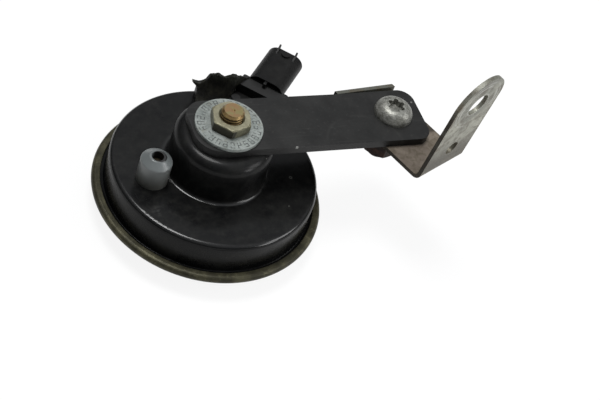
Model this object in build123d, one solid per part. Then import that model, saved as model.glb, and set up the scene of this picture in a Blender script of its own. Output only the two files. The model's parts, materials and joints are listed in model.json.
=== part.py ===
from build123d import *
import math
import os

# Disc horn for a vehicle, with its spring bracket and the angled plate that carries it.
# Z is the horn's axis and points to the rear. Z = 0 is the front ring that the horn rests on.
# +X runs along the bracket leaves. All sizes are in millimetres.

# ---- sheet, gaps and shared sizes -------------------------------------------------------
PAN_SHEET = 1.0
HOLE_GAP = 0.2
SLIP_GAP = 0.05
SEAT_GAP = 0.1
M8_R = 4.0
M8_FLATS = 13.0
M6_R = 3.0
M6_FLATS = 10.0

# ---- front: tone disc -------------------------------------------------------------------
TONE_SHEET = 1.2
TONE_R = 34.6
TONE_LAND_R = 24.0
TONE_HUB_R = 10.0
TONE_EDGE_H = 3.2
TONE_EDGE_BEND = 1.6
TONE_INNER_BEND = 0.4
TONE_LAND_BEND = 3.0
TONE_HUB_BEND = 1.5
TONE_NUT_H = 2.4
TONE_WASHER_R = 5.5
TONE_WASHER_T = 0.6
TONE_NUT_RECESS = 0.2
TONE_DISH = TONE_WASHER_T + TONE_NUT_H + TONE_NUT_RECESS
TONE_SPACER_R = 6.0
TONE_SPACER_H = 2.55

# ---- rear pan and cup -------------------------------------------------------------------
CUP_R = 18.0
CUP_TAPER = 0.3
CUP_H = 16.85
CUP_FOOT_BEND = 1.45
CUP_SHOULDER_BEND = 4.0
ANNULUS_W = 19.7
PAN_R = CUP_R + ANNULUS_W
PAN_TAPER = 0.1
PAN_H = 13.45
SHOULDER_BEND = 1.7
FLANGE_W = 2.7
FLANGE_R = PAN_R + FLANGE_W
FLANGE_BEND = 0.5

# ---- rim: diaphragm, gasket and crimp ---------------------------------------------------
DIAPHRAGM_SHEET = 0.8
RIM_GASKET_T = 0.5
RIM_GASKET_W = 2.2
RIM_H = 2 * DIAPHRAGM_SHEET + RIM_GASKET_T + PAN_SHEET
CURL_GAP = 0.8
CURL_FLAT = 0.1
RIM_CURL = (RIM_H - CURL_FLAT) / 2
RIM_R = FLANGE_R + CURL_GAP + DIAPHRAGM_SHEET
LIP_W = 3.0
LIP_R = RIM_R - LIP_W
LIP_EDGE = 0.3
RIDGE_IN_R = 17.0
RIDGE_OUT_R = 31.0
RIDGE_SLOPE = 2.5
RIDGE_H = 1.2
RIDGE_BEND = 1.2

# ---- magnet: armature, pole core, coil --------------------------------------------------
ARMATURE_R = 8.0
ARMATURE_COLLAR_R = 12.4
ARMATURE_COLLAR_H = 1.5
PLUNGER_R = 6.3
PLUNGER_H = 3.0
AIR_GAP = 0.8
STUD_FRONT_MARGIN = 0.3
YOKE_T = 1.2
YOKE_MARGIN = 7.0
YOKE_R = CUP_R + YOKE_MARGIN
YOKE_BORE_GAP = 3.2
YOKE_BORE_R = PLUNGER_R + YOKE_BORE_GAP
YOKE_TAB_W = 14.0
YOKE_TAB_MARGIN = 0.4
BOBBIN_WALL = 1.1
BOBBIN_FLANGE_T = 1.2
BOBBIN_FOOT_GAP = 1.4
BOBBIN_HEAD_GAP = 0.3
COIL_STEP = 0.2
STUD_TAIL = 2.85
STUD_CHAMFER = 0.7
STUD_DIMPLE_R = 0.6
STUD_DIMPLE_H = 0.5

# ---- adjuster cap and screw, in a frame whose x axis points from the horn's axis to them --
ADJUSTER_ANGLE = 189.0
CAP_R = 5.6
CAP_WALL = 1.2
CAP_WALL_H = 9.3
CAP_CONE_H = 2.0
CAP_TIP_R = 2.9
CAP_HOLE_R = 2.15
CAP_ROOF_DROP = 0.95
CAP_SNAP_H = 1.5
CAP_SNAP_LEAD = 0.7
CAP_EDGE = 0.8
CAP_FOOT_GAP = 0.05
ADJUSTER_X = CUP_R + CUP_FOOT_BEND + CAP_FOOT_GAP + CAP_R
SCREW_R = 2.0
SCREW_SLOT_W = 0.8
SCREW_SLOT_H = 1.0
COLLAR_R = 3.4
COLLAR_H = 3.0

# ---- contact breaker, in the adjuster's frame -------------------------------------------
ARM_W = 8.0
ARM_INSET = 3.5
ARM_END_X = PAN_R - ARM_INSET
ARM_BEND = 1.0
ARM_TIP = 0.45
STACK_LENGTH = 5.2
STACK_X = ARM_END_X - STACK_LENGTH / 2
STACK_SIDE = 0.5
INSULATOR_T = 0.8
SPACER_T = 1.5
MOVING_ARM_T = 0.5
FIXED_ARM_T = 1.0
CONTACT_R = 1.75
CONTACT_REACH = 4.9
CONTACT_X = ADJUSTER_X - CONTACT_REACH
FIXED_ARM_X = CONTACT_X - CONTACT_R - ARM_TIP
STRIKER_R = 1.6
STRIKER_T = 0.6
STRIKER_GAP = 0.2
STRIKER_OVERHANG = 0.2
STRIKER_X = ARMATURE_COLLAR_R - STRIKER_R + STRIKER_OVERHANG
MOVING_ARM_X = STRIKER_X - STRIKER_R - ARM_TIP
RIVET_R = 1.2
RIVET_HEAD_R = 1.7
RIVET_HEAD_H = 0.8
STACK_RIVET_Y = 2.2

# ---- connector, in a frame whose x axis points outward along the socket ------------------
CONNECTOR_ANGLE = 47.5
CONNECTOR_SHIFT = 0.15
BOSS_INSET = 9.5
BOSS_L = 5.0
BOSS_W = 10.8
BOSS_IN_X = PAN_R - BOSS_INSET
BOSS_OUT_X = BOSS_IN_X + BOSS_L
CONNECTOR_RIVET_Y = BOSS_W / 2 + RIVET_HEAD_R + HOLE_GAP
PLATE_W = 2 * (CONNECTOR_RIVET_Y + RIVET_HEAD_R + HOLE_GAP)
PLATE_MARGIN = 2.0
PLATE_IN_X = BOSS_IN_X - PLATE_MARGIN
PLATE_H = 3.5
PLATE_CORNER = 1.2
SEAL_T = 0.8
SEAL_INSET = 2.7
SEAL_OUT_X = PAN_R - SEAL_INSET
RISER_LAP = 0.2
RISER_IN_X = SEAL_OUT_X - RISER_LAP
RISER_L = 6.0
RISER_OUT_X = RISER_IN_X + RISER_L
RISER_DROP = 2.5
SOCKET_LAP = 0.8
SOCKET_IN_X = RISER_OUT_X - SOCKET_LAP
SOCKET_L = 20.0
SOCKET_OUT_X = SOCKET_IN_X + SOCKET_L
SOCKET_W = 14.3
SOCKET_H = 8.3
SOCKET_RISE = 9.8
SOCKET_WALL = 1.2
SOCKET_ROOT = 6.0
POCKET_RIB = 0.9
POCKET_WALL = 0.45
POCKET_DEPTH = 3.0
GUIDE_Y = 3.5
GUIDE_T = 0.7
GUIDE_L = 3.6
GUIDE_H = 1.9
LATCH_FROM_MOUTH = 2.2
LATCH_R = 1.7
LATCH_H = 0.7
BLADE_Y = 3.0
BLADE_W = 2.8
BLADE_T = 0.8
BLADE_RECESS = 6.2
BLADE_TIP_X = SOCKET_OUT_X - BLADE_RECESS
BLADE_TIP_BEVEL = 0.5
TAIL_INSET = 2.1
TAIL_X = BOSS_IN_X + TAIL_INSET
TAIL_L = 3.7
TAIL_STEP_INSET = 1.7
TAIL_STEP_X = RISER_IN_X + TAIL_STEP_INSET
TAIL_RUN_H = 1.1

# ---- wiring inside the pan --------------------------------------------------------------
LEAD_R = 0.45
LEAD_HOLE_GAP = 0.15
LEAD_WALL_GAP = 0.43
LEAD_PASS_R = CUP_R - PAN_SHEET - LEAD_WALL_GAP
LEAD_YOKE_DROP = 1.1
LEAD_COIL_RISE = 0.6
LEAD_COIL_GAP = 0.05
ARM_LEAD_REACH = 1.9
ARM_LEAD_X = ADJUSTER_X + ARM_LEAD_REACH
ARM_LEAD_Y = 5.6
CROSS_LEAD_REACH = 2.3
CROSS_LEAD_R = TAIL_X - CROSS_LEAD_REACH
CROSS_LEAD_RISE = 1.2

# ---- torn seal beside the connector, in a frame whose x axis points outward --------------
LUMP_ANGLE = 77.0
LUMP_INSET = 2.3
LUMP_CREST_W = 2.2
LUMP_SLOPE = 3.9
LUMP_HEEL_W = 1.5
LUMP_OUT_R = PAN_R - LUMP_INSET
LUMP_CREST_R = LUMP_OUT_R - LUMP_CREST_W
LUMP_HEEL_R = LUMP_CREST_R - LUMP_SLOPE
LUMP_IN_R = LUMP_HEEL_R - LUMP_HEEL_W
LUMP_HEEL_H = 3.5
LUMP_SCOOP = 3.0
LUMP_LEFT = 5.8
LUMP_RIGHT = 11.5
LUMP_H = 11.2
LUMP_SPIKE_X = 8.1
LUMP_SPIKE_H = 7.6
LUMP_NECK_DROP = 1.0
LUMP_BROW_X = 2.2
LUMP_DIP_X = 2.6
LUMP_DIP = 1.4
LUMP_DIP_BEND = 0.4
LUMP_BEND = 0.6
LUMP_GAP = 0.1

# ---- bracket leaves ---------------------------------------------------------------------
BOLT_X = 64.7
BOLT_Y = 1.5
LEAF_T = 1.5
LEAF_NEAR_Y = 11.5
LEAF_FAR_Y = 12.6
LEAF_FLARE = 0.7
LEAF_HUB_MARGIN = 1.16
LEAF_END_MARGIN = 11.4
LEAF_END_X = BOLT_X + LEAF_END_MARGIN
LEAF_HUB_CORNER = 7.0
LEAF_HUB_NEAR_CORNER = 9.0
LEAF_NEAR_CORNER = 5.0
LEAF_FAR_CORNER = 5.5

# ---- washer, nuts and bolt --------------------------------------------------------------
INDEX_WASHER_R = 12.04
INDEX_WASHER_T = 1.2
LEAF_HUB_X = INDEX_WASHER_R + LEAF_HUB_MARGIN
STUD_NUT_H = 4.0
STUD_NUT_TURN = 18.0
NUT_CHAMFER_ANGLE = 30.0
NUT_MOUTH = 0.6
BOLT_LENGTH = 20.0
BOLT_HEAD_R = 7.2
BOLT_HEAD_H = 4.4
BOLT_HEAD_RIM = 0.6
BOLT_HEAD_DOME = 0.9
BOLT_CROWN_R = 3.7
BOLT_END_CHAMFER = 0.8
LOBE_PITCH_R = 2.55
LOBE_R = 0.82
LOBE_CORE_R = 2.42
LOBE_DEPTH = 2.4
LOBE_TURN = 12.0
BOLT_NUT_H = 3 * M8_R
BOLT_NUT_TURN = 18.0

# ---- support plate, in a frame on the bolt whose -y axis points to the leg ---------------
SUPPORT_T = 1.5
SUPPORT_W = 23.5
SUPPORT_ANGLE = 23.8
SUPPORT_REACH = 26.1
SUPPORT_BACK = 30.0
SUPPORT_BEND = 1.5
LEG_ANGLE = 86.5
LEG_L = 47.2
LARGE_HOLE_R = 4.5
LARGE_HOLE_DROP = 0.55
LARGE_HOLE_UP = LEG_L - SUPPORT_W / 2 - LARGE_HOLE_DROP
SMALL_HOLE_R = 2.85
SMALL_HOLE_UP = 11.9
TAB_ANGLE = 5.5
TAB_REACH = 18.7
TAB_X = BOLT_X - TAB_REACH
TAB_H = 4.15
TAB_BEND = 0.3
TAB_ROOT = 3.0

# ---- heights that follow from the sizes above --------------------------------------------
DIAPHRAGM_Z = TONE_DISH + TONE_SHEET + TONE_SPACER_H
FLANGE_Z = DIAPHRAGM_Z + DIAPHRAGM_SHEET + RIM_GASKET_T
LIP_Z = FLANGE_Z + PAN_SHEET
PAN_TOP_Z = FLANGE_Z + PAN_H
PAN_ROOF_Z = PAN_TOP_Z - PAN_SHEET
CUP_TOP_Z = PAN_TOP_Z + CUP_H
CUP_ROOF_Z = CUP_TOP_Z - PAN_SHEET
BOBBIN_HEAD_R = CUP_R - CUP_TAPER - CUP_SHOULDER_BEND - BOBBIN_HEAD_GAP
ARMATURE_Z = DIAPHRAGM_Z + DIAPHRAGM_SHEET
YOKE_Z = PAN_ROOF_Z - YOKE_T
MOVING_ARM_Z = YOKE_Z - INSULATOR_T - MOVING_ARM_T
FIXED_ARM_Z = MOVING_ARM_Z - SPACER_T - FIXED_ARM_T
STACK_Z = FIXED_ARM_Z - INSULATOR_T
ARMATURE_TOP_Z = MOVING_ARM_Z - STRIKER_T - STRIKER_GAP
PLUNGER_TOP_Z = ARMATURE_TOP_Z + PLUNGER_H
CAP_WALL_TOP_Z = PAN_TOP_Z + CAP_WALL_H
CAP_ROOF_Z = CAP_WALL_TOP_Z - CAP_ROOF_DROP
SCREW_TOP_Z = CAP_ROOF_Z - SLIP_GAP
LEAF_Z = CUP_TOP_Z
LEAF_TOP_Z = LEAF_Z + 2 * LEAF_T
WASHER_TOP_Z = LEAF_TOP_Z + INDEX_WASHER_T
STUD_END_Z = WASHER_TOP_Z + STUD_NUT_H + STUD_TAIL
PLATE_Z = PAN_TOP_Z + SEAL_T
SOCKET_TOP_Z = PLATE_Z + SOCKET_RISE
SOCKET_MID_Z = SOCKET_TOP_Z - SOCKET_H / 2
RISER_TOP_Z = SOCKET_TOP_Z - RISER_DROP
TAIL_RUN_Z = PLATE_Z + TAIL_RUN_H
SUPPORT_Z = LEAF_Z - SUPPORT_T
LEAD_Z = YOKE_Z - LEAD_YOKE_DROP
COIL_FOOT_Z = PAN_ROOF_Z + BOBBIN_FLANGE_T
LEAD_COIL_Z = COIL_FOOT_Z + LEAD_COIL_RISE
COIL_OUT_R = BOBBIN_HEAD_R - COIL_STEP
FIXED_LEAD_Z = FIXED_ARM_Z + FIXED_ARM_T / 2
CROSS_LEAD_Z = FIXED_LEAD_Z + CROSS_LEAD_RISE

ADJUSTER = Rot(0, 0, ADJUSTER_ANGLE)
CONNECTOR = Rot(0, 0, CONNECTOR_ANGLE) * Pos(0, CONNECTOR_SHIFT, 0)
LUMP = Rot(0, 0, LUMP_ANGLE)
BOLT_AXIS = Pos(BOLT_X, BOLT_Y, 0)
SUPPORT = BOLT_AXIS * Rot(0, 0, SUPPORT_ANGLE)
TAB = Pos(TAB_X, LEAF_FAR_Y + TAB_BEND, 0) * Rot(0, 0, TAB_ANGLE)


# ---- shape helpers ----------------------------------------------------------------------
def outline(corners):
    """Closed face from (x, y, corner radius) triples."""
    points = [(x, y) for x, y, radius in corners]
    radii = [radius for x, y, radius in corners]
    return make_face(FilletPolyline(*points, radius=radii, close=True))


def turned(corners):
    """Solid turned about Z from (r, z, corner radius) triples."""
    return revolve(Plane.XZ * outline(corners), Axis.Z)


def slab(corners, z, height):
    """Flat piece with an outline of (x, y, corner radius) triples, from z up."""
    return extrude(Pos(0, 0, z) * outline(corners), height)


def block(x0, x1, y0, y1, z0, z1):
    """Box between two corners."""
    return Pos((x0 + x1) / 2, (y0 + y1) / 2, (z0 + z1) / 2) * Box(x1 - x0, y1 - y0, z1 - z0)


def drum(radius, z0, z1, x=0.0, y=0.0):
    """Cylinder on a line parallel to Z, between two heights."""
    return Pos(x, y, (z0 + z1) / 2) * Cylinder(radius, z1 - z0)


def ring(r_in, r_out, z0, z1):
    """Flat ring about Z, between two heights."""
    return drum(r_out, z0, z1) - drum(r_in, z0, z1)


def hex_nut(flats, bore_r, height):
    """Hexagon nut on z = 0, with both faces chamfered and both mouths countersunk."""
    corner_r = flats / math.sqrt(3)
    rise = (corner_r - flats / 2) * math.tan(math.radians(NUT_CHAMFER_ANGLE))
    body = extrude(RegularPolygon(corner_r, 6), height)
    cone = turned([
        (0, 0, 0),
        (flats / 2, 0, 0),
        (corner_r, rise, 0),
        (corner_r, height - rise, 0),
        (flats / 2, height, 0),
        (0, height, 0),
    ])
    bore = turned([
        (0, 0, 0),
        (bore_r + NUT_MOUTH, 0, 0),
        (bore_r, NUT_MOUTH, 0),
        (bore_r, height - NUT_MOUTH, 0),
        (bore_r + NUT_MOUTH, height, 0),
        (0, height, 0),
    ])
    return (body & cone) - bore


def from_side(x, width, corners):
    """Bar of the given width ending at x, from corners of (-y, z, corner radius)."""
    return extrude(Plane(origin=(x, 0, 0), x_dir=(0, -1, 0), z_dir=(-1, 0, 0)) * outline(corners), width)


def wire(*points):
    """Round wire through the given points."""
    body = Pos(*points[0]) * Sphere(LEAD_R)
    for start, end in zip(points, points[1:]):
        reach = Vector(end) - Vector(start)
        body += extrude(Plane(origin=start, z_dir=reach) * Circle(LEAD_R), reach.length)
        body += Pos(*end) * Sphere(LEAD_R)
    return body


def stadium(width, height, x0, x1):
    """Bar along x with fully rounded sides, centred on the socket's axis."""
    section = Plane.YZ * SlotOverall(width, height)
    return Pos(x0, 0, SOCKET_MID_Z) * extrude(section, x1 - x0)


# ---- front and rim ----------------------------------------------------------------------
def tone_disc():
    back = TONE_DISH + TONE_SHEET
    return turned([
        (M6_R + HOLE_GAP, TONE_DISH, 0),
        (TONE_HUB_R, TONE_DISH, TONE_HUB_BEND),
        (TONE_LAND_R, 0, TONE_LAND_BEND),
        (TONE_R, 0, TONE_EDGE_BEND),
        (TONE_R, TONE_EDGE_H, 0),
        (TONE_R - TONE_SHEET, TONE_EDGE_H, 0),
        (TONE_R - TONE_SHEET, TONE_SHEET, TONE_INNER_BEND),
        (TONE_LAND_R + TONE_INNER_BEND, TONE_SHEET, TONE_LAND_BEND - TONE_SHEET),
        (TONE_HUB_R + TONE_INNER_BEND, back, TONE_HUB_BEND + TONE_SHEET),
        (M6_R + HOLE_GAP, back, 0),
    ])


def tone_disc_nut():
    return Pos(0, 0, TONE_DISH - TONE_WASHER_T - TONE_NUT_H) * hex_nut(M6_FLATS, M6_R + SLIP_GAP, TONE_NUT_H)


def tone_disc_washer():
    return ring(M6_R + HOLE_GAP, TONE_WASHER_R, TONE_DISH - TONE_WASHER_T, TONE_DISH)


def tone_disc_spacer():
    return ring(M6_R + HOLE_GAP, TONE_SPACER_R, TONE_DISH + TONE_SHEET, DIAPHRAGM_Z)


def diaphragm():
    """Dished disc with one ridge, whose edge is curled back over the pan's flange."""
    front = DIAPHRAGM_Z
    back = DIAPHRAGM_Z + DIAPHRAGM_SHEET
    crest = back + RIDGE_H
    top = DIAPHRAGM_Z + RIM_H
    curl_in = RIM_CURL - DIAPHRAGM_SHEET
    return turned([
        (M6_R + HOLE_GAP, front, 0),
        (RIDGE_IN_R, front, RIDGE_BEND),
        (RIDGE_IN_R + RIDGE_SLOPE, front + RIDGE_H, RIDGE_BEND),
        (RIDGE_OUT_R - RIDGE_SLOPE, front + RIDGE_H, RIDGE_BEND),
        (RIDGE_OUT_R, front, RIDGE_BEND),
        (RIM_R, front, RIM_CURL),
        (RIM_R, top, RIM_CURL),
        (LIP_R, top, LIP_EDGE),
        (LIP_R, LIP_Z, LIP_EDGE),
        (RIM_R - DIAPHRAGM_SHEET, LIP_Z, curl_in),
        (RIM_R - DIAPHRAGM_SHEET, back, curl_in),
        (RIDGE_OUT_R, back, RIDGE_BEND),
        (RIDGE_OUT_R - RIDGE_SLOPE, crest, RIDGE_BEND),
        (RIDGE_IN_R + RIDGE_SLOPE, crest, RIDGE_BEND),
        (RIDGE_IN_R, back, RIDGE_BEND),
        (M6_R + HOLE_GAP, back, 0),
    ])


def rim_gasket():
    return ring(FLANGE_R - RIM_GASKET_W, FLANGE_R, DIAPHRAGM_Z + DIAPHRAGM_SHEET, FLANGE_Z)


# ---- rear pan ---------------------------------------------------------------------------
def connector_window(gap):
    """Opening in the pan's roof that the connector's boss goes through."""
    half = BOSS_W / 2 + gap
    return CONNECTOR * block(BOSS_IN_X - gap, BOSS_OUT_X + gap, -half, half, YOKE_Z, PLATE_Z)


def connector_rivet_holes():
    x = (BOSS_IN_X + BOSS_OUT_X) / 2
    holes = [drum(RIVET_R + SLIP_GAP, YOKE_Z, SOCKET_TOP_Z, x, side * CONNECTOR_RIVET_Y) for side in (-1, 1)]
    return CONNECTOR * Compound(holes)


def back_shell():
    """Drawn pan and cup, with the collar that guides the adjusting screw."""
    shoulder_r = PAN_R - PAN_TAPER
    cup_top_r = CUP_R - CUP_TAPER
    shell = turned([
        (FLANGE_R, FLANGE_Z, 0),
        (FLANGE_R, LIP_Z, 0),
        (PAN_R, LIP_Z, FLANGE_BEND),
        (shoulder_r, PAN_TOP_Z, SHOULDER_BEND),
        (CUP_R, PAN_TOP_Z, CUP_FOOT_BEND),
        (cup_top_r, CUP_TOP_Z, CUP_SHOULDER_BEND),
        (M8_R + SLIP_GAP, CUP_TOP_Z, 0),
        (M8_R + SLIP_GAP, CUP_ROOF_Z, 0),
        (cup_top_r - PAN_SHEET, CUP_ROOF_Z, CUP_SHOULDER_BEND - PAN_SHEET),
        (CUP_R - PAN_SHEET, PAN_ROOF_Z, CUP_FOOT_BEND + PAN_SHEET),
        (shoulder_r - PAN_SHEET, PAN_ROOF_Z, SHOULDER_BEND - PAN_SHEET),
        (PAN_R - PAN_SHEET, FLANGE_Z, FLANGE_BEND + PAN_SHEET),
    ])
    collar_top_z = PAN_TOP_Z + COLLAR_H
    shell += ADJUSTER * drum(COLLAR_R, PAN_ROOF_Z, collar_top_z, ADJUSTER_X)
    shell -= ADJUSTER * drum(SCREW_R + SLIP_GAP, PAN_ROOF_Z, collar_top_z, ADJUSTER_X)
    shell -= connector_window(SEAT_GAP)
    return shell - connector_rivet_holes()


# ---- magnet -----------------------------------------------------------------------------
def armature():
    collar_z = ARMATURE_TOP_Z - ARMATURE_COLLAR_H
    return turned([
        (0, STUD_FRONT_MARGIN, 0),
        (M6_R, STUD_FRONT_MARGIN, 0),
        (M6_R, ARMATURE_Z, 0),
        (ARMATURE_R, ARMATURE_Z, 0),
        (ARMATURE_R, collar_z, 0),
        (ARMATURE_COLLAR_R, collar_z, 0),
        (ARMATURE_COLLAR_R, ARMATURE_TOP_Z, 0),
        (PLUNGER_R, ARMATURE_TOP_Z, 0),
        (PLUNGER_R, PLUNGER_TOP_Z, 0),
        (0, PLUNGER_TOP_Z, 0),
    ])


def pole_core_stud():
    """Pole core inside the cup, turned in one piece with the M8 mounting stud."""
    core = turned([
        (0, PLUNGER_TOP_Z + AIR_GAP, 0),
        (PLUNGER_R, PLUNGER_TOP_Z + AIR_GAP, 0),
        (PLUNGER_R, CUP_ROOF_Z, 0),
        (M8_R, CUP_ROOF_Z, 0),
        (M8_R, STUD_END_Z - STUD_CHAMFER, 0),
        (M8_R - STUD_CHAMFER, STUD_END_Z, 0),
        (0, STUD_END_Z, 0),
    ])
    dimple = turned([
        (0, STUD_END_Z - STUD_DIMPLE_H, 0),
        (STUD_DIMPLE_R, STUD_END_Z, 0),
        (0, STUD_END_Z, 0),
    ])
    return core - dimple


def coil_bobbin():
    bore_r = PLUNGER_R + HOLE_GAP
    neck_r = bore_r + BOBBIN_WALL
    foot_r = CUP_R - PAN_SHEET - BOBBIN_FOOT_GAP
    foot_z = COIL_FOOT_Z
    head_z = CUP_ROOF_Z - BOBBIN_FLANGE_T
    return turned([
        (bore_r, PAN_ROOF_Z, 0),
        (foot_r, PAN_ROOF_Z, 0),
        (foot_r, foot_z, 0),
        (neck_r, foot_z, 0),
        (neck_r, head_z, 0),
        (BOBBIN_HEAD_R, head_z, 0),
        (BOBBIN_HEAD_R, CUP_ROOF_Z, 0),
        (bore_r, CUP_ROOF_Z, 0),
    ])


def coil_winding():
    neck_r = PLUNGER_R + HOLE_GAP + BOBBIN_WALL
    return ring(neck_r + SLIP_GAP, COIL_OUT_R, COIL_FOOT_Z, CUP_ROOF_Z - BOBBIN_FLANGE_T)


def yoke_plate():
    """Steel plate under the pan's roof that carries the bobbin and the contact breaker."""
    disc = drum(YOKE_R, YOKE_Z, PAN_ROOF_Z)
    half = YOKE_TAB_W / 2
    tab = ADJUSTER * block(0, ARM_END_X + YOKE_TAB_MARGIN, -half, half, YOKE_Z, PAN_ROOF_Z)
    bore = drum(YOKE_BORE_R, YOKE_Z, PAN_ROOF_Z)
    return disc + tab - bore - breaker_holes() - lead_holes()


def pass_x(y):
    """Distance along x at which a lead beside the axis comes through the yoke plate."""
    return math.sqrt(LEAD_PASS_R ** 2 - y ** 2)


def lead_holes():
    """Holes in the yoke plate for the coil's two leads."""
    hole_r = LEAD_R + LEAD_HOLE_GAP
    by_socket = CONNECTOR * drum(hole_r, YOKE_Z, PAN_ROOF_Z, pass_x(BLADE_Y), -BLADE_Y)
    by_breaker = ADJUSTER * drum(hole_r, YOKE_Z, PAN_ROOF_Z, pass_x(ARM_LEAD_Y), ARM_LEAD_Y)
    return Compound([by_socket, by_breaker])


def coil_lead(start, y):
    """Lead from a start point, in along y and up beside the bobbin to the winding."""
    foot = (pass_x(y), y, LEAD_Z)
    head = (pass_x(y), y, LEAD_COIL_Z)
    reach = COIL_OUT_R + LEAD_R + LEAD_COIL_GAP
    end = (math.sqrt(reach ** 2 - y ** 2), y, LEAD_COIL_Z)
    return wire(*start, foot, head, end)


def coil_leads():
    """One lead from a terminal's tail and one from the moving contact arm, each to the coil."""
    tail = (TAIL_X - LEAD_R, -BLADE_Y, LEAD_Z)
    arm_z = MOVING_ARM_Z + MOVING_ARM_T / 2
    arm_edge = (ARM_LEAD_X, ARM_W / 2 + LEAD_R, arm_z)
    bend = (ARM_LEAD_X, ARM_LEAD_Y, LEAD_Z)
    return [CONNECTOR * coil_lead([tail], -BLADE_Y), ADJUSTER * coil_lead([arm_edge, bend], ARM_LEAD_Y)]


def contact_lead():
    """Lead from the fixed contact arm round the magnet to the other terminal's tail."""
    side = -ARM_LEAD_Y
    x = math.sqrt(CROSS_LEAD_R ** 2 - side ** 2)
    near_arm = wire((x, -ARM_W / 2 - LEAD_R, FIXED_LEAD_Z), (x, side, FIXED_LEAD_Z), (x, side, CROSS_LEAD_Z))
    first = ADJUSTER_ANGLE + math.degrees(math.asin(side / CROSS_LEAD_R))
    tail_y = BLADE_Y + CONNECTOR_SHIFT
    last = CONNECTOR_ANGLE + math.degrees(math.asin(tail_y / CROSS_LEAD_R))
    loop = revolve(Plane.XZ * Pos(CROSS_LEAD_R, CROSS_LEAD_Z) * Circle(LEAD_R), Axis.Z, first - last)
    tail_x = math.sqrt(CROSS_LEAD_R ** 2 - tail_y ** 2)
    near_tail = wire((tail_x, BLADE_Y, CROSS_LEAD_Z), (TAIL_X - LEAD_R, BLADE_Y, CROSS_LEAD_Z))
    return ADJUSTER * near_arm + Rot(0, 0, last) * loop + CONNECTOR * near_tail


# ---- contact breaker --------------------------------------------------------------------
def breaker_holes():
    """Clearance for the adjusting screw and the stack's rivets."""
    screw = drum(SCREW_R + SEAT_GAP + HOLE_GAP, MOVING_ARM_Z, PAN_ROOF_Z, ADJUSTER_X)
    rivets = [
        drum(RIVET_R + SLIP_GAP, STACK_Z, PAN_ROOF_Z, STACK_X, side * STACK_RIVET_Y)
        for side in (-1, 1)
    ]
    return ADJUSTER * Compound([screw, *rivets])


def arm(x0, z, thickness):
    """Flat contact arm with a rounded free end."""
    half = ARM_W / 2
    corners = [
        (x0, -half, half - ARM_BEND),
        (ARM_END_X, -half, ARM_BEND),
        (ARM_END_X, half, ARM_BEND),
        (x0, half, half - ARM_BEND),
    ]
    return ADJUSTER * slab(corners, z, thickness) - breaker_holes()


def moving_contact_arm():
    return arm(MOVING_ARM_X, MOVING_ARM_Z, MOVING_ARM_T)


def fixed_contact_arm():
    return arm(FIXED_ARM_X, FIXED_ARM_Z, FIXED_ARM_T)


def contact_insulators():
    layers = [
        (STACK_Z, FIXED_ARM_Z),
        (FIXED_ARM_Z + FIXED_ARM_T, MOVING_ARM_Z),
        (MOVING_ARM_Z + MOVING_ARM_T, YOKE_Z),
    ]
    half = ARM_W / 2 + STACK_SIDE
    return [
        ADJUSTER * block(ARM_END_X - STACK_LENGTH, ARM_END_X, -half, half, z0, z1) - breaker_holes()
        for z0, z1 in layers
    ]


def contact_rivets():
    rivets = []
    for side in (-1, 1):
        y = side * STACK_RIVET_Y
        shank = drum(RIVET_R, STACK_Z, PAN_ROOF_Z, STACK_X, y)
        head = drum(RIVET_HEAD_R, STACK_Z - RIVET_HEAD_H, STACK_Z, STACK_X, y)
        rivets.append(ADJUSTER * (shank + head))
    return rivets


def contact_points():
    fixed_top_z = FIXED_ARM_Z + FIXED_ARM_T
    meeting_z = (fixed_top_z + MOVING_ARM_Z) / 2
    spans = [(fixed_top_z, meeting_z), (meeting_z, MOVING_ARM_Z)]
    return [ADJUSTER * drum(CONTACT_R, z0, z1, CONTACT_X) for z0, z1 in spans]


def striker_pad():
    return ADJUSTER * drum(STRIKER_R, MOVING_ARM_Z - STRIKER_T, MOVING_ARM_Z, STRIKER_X)


def adjusting_screw():
    shank = drum(SCREW_R, FIXED_ARM_Z + FIXED_ARM_T, SCREW_TOP_Z, ADJUSTER_X)
    half = SCREW_SLOT_W / 2
    slot = block(
        ADJUSTER_X - SCREW_R, ADJUSTER_X + SCREW_R, -half, half, SCREW_TOP_Z - SCREW_SLOT_H, SCREW_TOP_Z
    )
    return ADJUSTER * (shank - slot)


def adjuster_cap():
    """Hollow cap with a coned roof and a hole for the adjusting tool."""
    bore_r = CAP_R - CAP_WALL
    tip_z = CAP_WALL_TOP_Z + CAP_CONE_H
    snap_r = COLLAR_R + SEAT_GAP
    snap_z = PAN_TOP_Z + CAP_SNAP_H
    cap = turned([
        (snap_r, PAN_TOP_Z, 0),
        (CAP_R, PAN_TOP_Z, 0),
        (CAP_R, CAP_WALL_TOP_Z, CAP_EDGE),
        (CAP_TIP_R, tip_z, CAP_EDGE / 2),
        (CAP_HOLE_R, tip_z, 0),
        (CAP_HOLE_R, CAP_ROOF_Z, 0),
        (bore_r, CAP_ROOF_Z, CAP_EDGE),
        (bore_r, snap_z + CAP_SNAP_LEAD, 0),
        (snap_r, snap_z, 0),
    ])
    return ADJUSTER * Pos(ADJUSTER_X, 0, 0) * cap


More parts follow.
